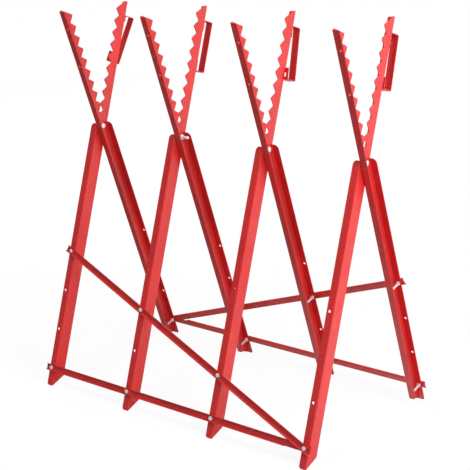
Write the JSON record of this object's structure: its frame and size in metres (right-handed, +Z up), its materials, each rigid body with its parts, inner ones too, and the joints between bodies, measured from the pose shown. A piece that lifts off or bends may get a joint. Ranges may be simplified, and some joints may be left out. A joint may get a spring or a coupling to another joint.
{
  "type": "log saw stand",
  "caption": "Folding saw horse for logs: crossed pairs of pressed red steel legs with toothed upper arms, tied by rails and diagonal braces, with bent keeper straps.",
  "frame": {"origin": "middle of the stand's footprint, on the floor", "axes": "+X along the row of leg pairs, +Y from the front feet to the rear feet, +Z up"},
  "size_m": [0.9489, 0.5112, 1.0225],
  "materials": {
    "red_steel": "satin powder coat",
    "zinc_steel": "bright zinc"
  },
  "bodies": {
    "front_half": {"front_leg_1": "red_steel", "front_leg_2": "red_steel", "front_leg_3": "red_steel", "front_leg_4": "red_steel", "front_rail": "red_steel", "front_diagonal": "red_steel", "pivot_bolts": "zinc_steel", "pivot_nuts": "zinc_steel", "front_bolts": "zinc_steel", "front_nuts": "zinc_steel", "keeper_bolts": "zinc_steel", "keeper_nuts": "zinc_steel"},
    "rear_half": {"rear_leg_1": "red_steel", "rear_leg_2": "red_steel", "rear_leg_3": "red_steel", "rear_leg_4": "red_steel", "rear_rail": "red_steel", "rear_diagonal": "red_steel", "rear_bolts": "zinc_steel", "rear_nuts": "zinc_steel"},
    "keeper_1": {"keeper_1": "red_steel"},
    "keeper_2": {"keeper_2": "red_steel"},
    "keeper_3": {"keeper_3": "red_steel"},
    "keeper_4": {"keeper_4": "red_steel"}
  },
  "joints": [
    {"name": "fold", "type": "hinge", "parent": "front_half", "child": "rear_half", "pos_m": [0, 0, 0.69263], "axis": [1, 0, 0], "range_deg": [-37, 0]},
    {"name": "keeper_swing_1", "type": "hinge", "parent": "front_half", "child": "keeper_1", "pos_m": [-0.4472, 0.11577, 0.97227], "axis": [0, 0.9472, -0.3206], "continuous": true},
    {"name": "keeper_swing_2", "type": "hinge", "parent": "front_half", "child": "keeper_2", "pos_m": [-0.1572, 0.11577, 0.97227], "axis": [0, 0.9472, -0.3206], "continuous": true},
    {"name": "keeper_swing_3", "type": "hinge", "parent": "front_half", "child": "keeper_3", "pos_m": [0.1328, 0.11577, 0.97227], "axis": [0, 0.9472, -0.3206], "continuous": true},
    {"name": "keeper_swing_4", "type": "hinge", "parent": "front_half", "child": "keeper_4", "pos_m": [0.4228, 0.11577, 0.97227], "axis": [0, 0.9472, -0.3206], "continuous": true}
  ]
}
